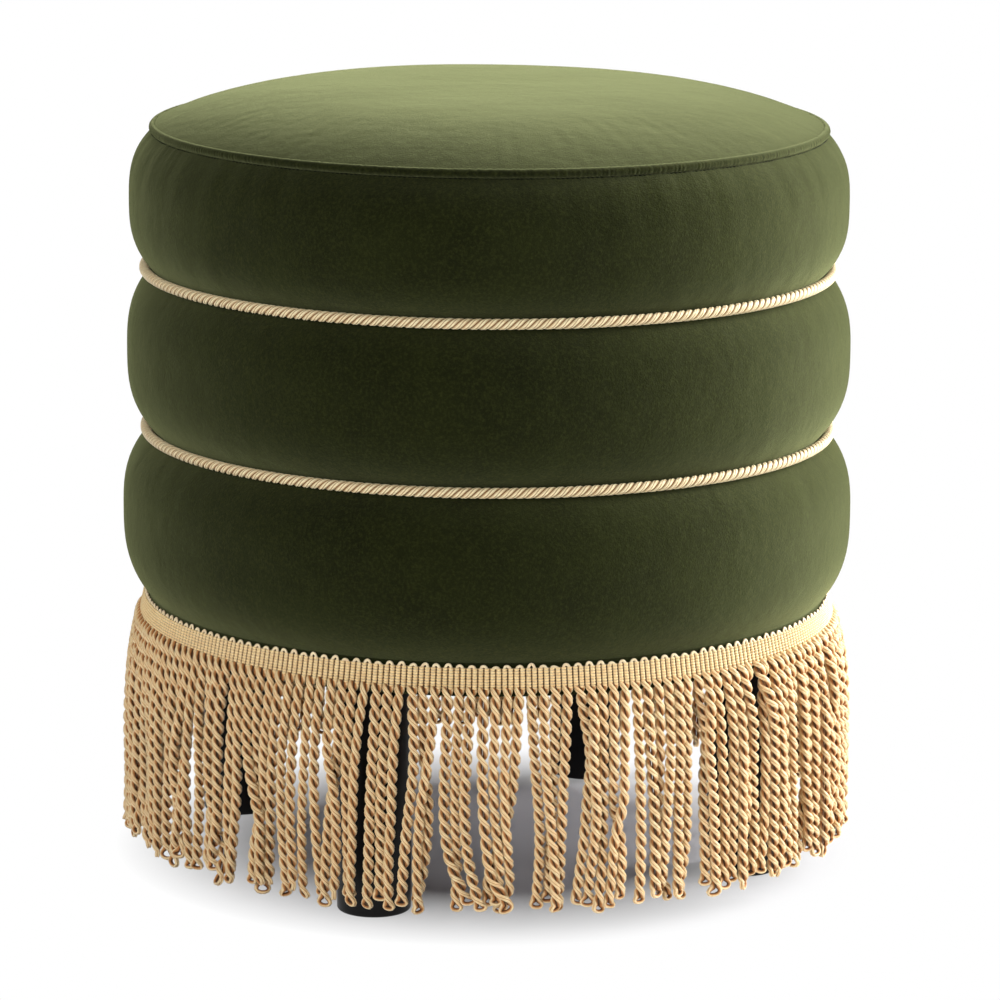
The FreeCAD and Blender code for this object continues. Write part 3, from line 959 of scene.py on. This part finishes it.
# Dust cover
def build_dust_cover():
    columns, rows = 192, 14
    cover_radius = high("dust_cover").x
    bottom_height = low("dust_cover").z - DUST_SAG
    top_height = high("dust_cover").z
    radius = np.linspace(0.05, 1, rows)[:, None] * cover_radius
    angle = 2 * np.pi * np.arange(columns)[None] / columns
    wave = 0.2 * MM * ring_noise(angle, 8, 30, 8, RNG)
    bottom = polar(radius, angle, bottom_height + wave * (radius / cover_radius) ** 2)
    top = polar(radius[::-1], angle, top_height)
    rim = np.concatenate([bottom, top])
    points = rim.reshape(-1, 3)
    ids, _ = quads(len(rim), columns, False, True)
    ring = np.arange(columns)
    first = fans(ring, len(points), True)
    last = fans(ring + (len(rim) - 1) * columns, len(points) + 1)
    points = np.concatenate([points, [[0, 0, bottom_height], [0, 0, top_height]]])
    piece = make_piece("dust_sheet", points, [ids, first, last], dust_cloth)
    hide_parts("dust_cover")


build_dust_cover()


def build_staples():
    """Wire staples round the dust cover's edge, pressed into the board."""
    angle = 2 * np.pi * (np.arange(STAPLES) + 0.5)[:, None] / STAPLES
    radius = high("dust_cover").x - STAPLE_INSET
    share = np.array([-0.5, -0.47, -0.3, 0.0, 0.3, 0.47, 0.5])[None]
    depth = STAPLE_SINK * np.array([1, 0.3, 0, 0, 0, 0.3, 1])[None]
    height = low("dust_cover").z - 0.35 * MM + depth
    tilt = RNG.normal(0, STAPLE_TILT, (STAPLES, 1))
    crown = STAPLE_CROWN * share
    paths = polar(radius + crown * np.sin(tilt), angle + crown * np.cos(tilt) / radius, height)
    down = np.broadcast_to(-UP, paths.shape)
    points = sweep(paths, down, ellipse(STAPLE_WIDTH, STAPLE_DEPTH, 6))
    tube_piece("staples", points, staple_steel)


build_staples()

# What the covers hide
slot_of = {row["node"]: row["material_slot"] for row in frame["record"]["subparts"]}
for node, shape in frame["nodes"].items():
    finish = hidden_materials.get(slot_of[node])
    if finish:
        shape.data.materials.clear()
        shape.data.materials.append(finish)


# Stage
def area_lamp(name, azimuth, elevation, power):
    """A square soft box at degrees round from the front and up from the floor, and its power in watts."""
    turn, rise = math.radians(azimuth), math.radians(elevation)
    away = Vector((math.sin(turn) * math.cos(rise), -math.cos(turn) * math.cos(rise), math.sin(rise)))
    lamp = bpy.data.lights.new(name, "AREA")
    lamp.shape = "SQUARE"
    lamp.size = LAMP_SIZE
    lamp.energy = power
    stand = bpy.data.objects.new(name, lamp)
    bpy.context.collection.objects.link(stand)
    stand.location = LAMP_AIM + LAMP_DISTANCE * away
    stand.rotation_mode = "QUATERNION"
    stand.rotation_quaternion = away.to_track_quat("Z", "Y")


def floor_material():
    """Pale where it lights the tuffet. To the camera, and in gloss and glass, it is white except under the
    tuffet, where it keeps the shadow and takes a darker colour, painted shade that deepens that shadow."""
    material = bpy.data.materials.new("white_floor")
    material.use_nodes = True
    s = Nodes(material.node_tree)
    s.nodes.clear()
    path = s.add("LightPath").outputs
    seen = s.math("MAXIMUM", path["Is Camera Ray"], path["Is Glossy Ray"])
    seen = s.math("MAXIMUM", seen, path["Is Transmission Ray"])
    place = s.add("TexCoord").outputs["Object"]
    from_axis = s.add("VectorMath", {"operation": "LENGTH"}, i0=place).outputs["Value"]
    far = s.add("MapRange", Value=from_axis, From_Min=FADE_START, From_Max=FADE_END).outputs["Result"]
    # Camera, gloss and glass rays see the darker colour: painted shade under the tuffet.
    lit = s.add("BsdfDiffuse", Color=s.mix(seen, FLOOR_COLOUR, SHADED_FLOOR)).outputs[0]
    white = s.add("Emission").outputs[0]
    surface = s.add("MixShader", Fac=s.math("MULTIPLY", seen, far), i1=lit, i2=white).outputs[0]
    s.add("OutputMaterial", Surface=surface)
    return material


def build_floor():
    sides = ((-1, -1), (1, -1), (1, 1), (-1, 1))
    corners = [(FLOOR_HALF * x, FLOOR_HALF * y, 0.0) for x, y in sides]
    mesh = bpy.data.meshes.new("floor")
    mesh.from_pydata(corners, [], [(0, 1, 2, 3)])
    mesh.materials.append(floor_material())
    floor = bpy.data.objects.new("floor", mesh)
    bpy.context.collection.objects.link(floor)


def build_world():
    """A faint even light, and white to the camera."""
    world = bpy.data.worlds.new("studio")
    bpy.context.scene.world = world
    world.use_nodes = True
    s = Nodes(world.node_tree)
    s.nodes.clear()
    seen = s.add("LightPath").outputs["Is Camera Ray"]
    soft = s.add("Background", Strength=AMBIENT).outputs[0]
    white = s.add("Background").outputs[0]
    surface = s.add("MixShader", Fac=seen, i1=soft, i2=white).outputs[0]
    s.add("OutputWorld", Surface=surface)


def build_camera():
    data = bpy.data.cameras.new("camera")
    data.sensor_width = CAMERA_SENSOR
    data.lens = CAMERA_LENS
    camera = bpy.data.objects.new("camera", data)
    bpy.context.collection.objects.link(camera)
    camera.location = CAMERA_PLACE
    camera.rotation_euler = CAMERA_TURN
    bpy.context.scene.camera = camera


build_floor()
build_world()
for lamp_name, (azimuth, elevation, power) in LAMPS.items():
    area_lamp(lamp_name, azimuth, elevation, power)
build_camera()
bpy.context.scene.view_settings.view_transform = "Standard"
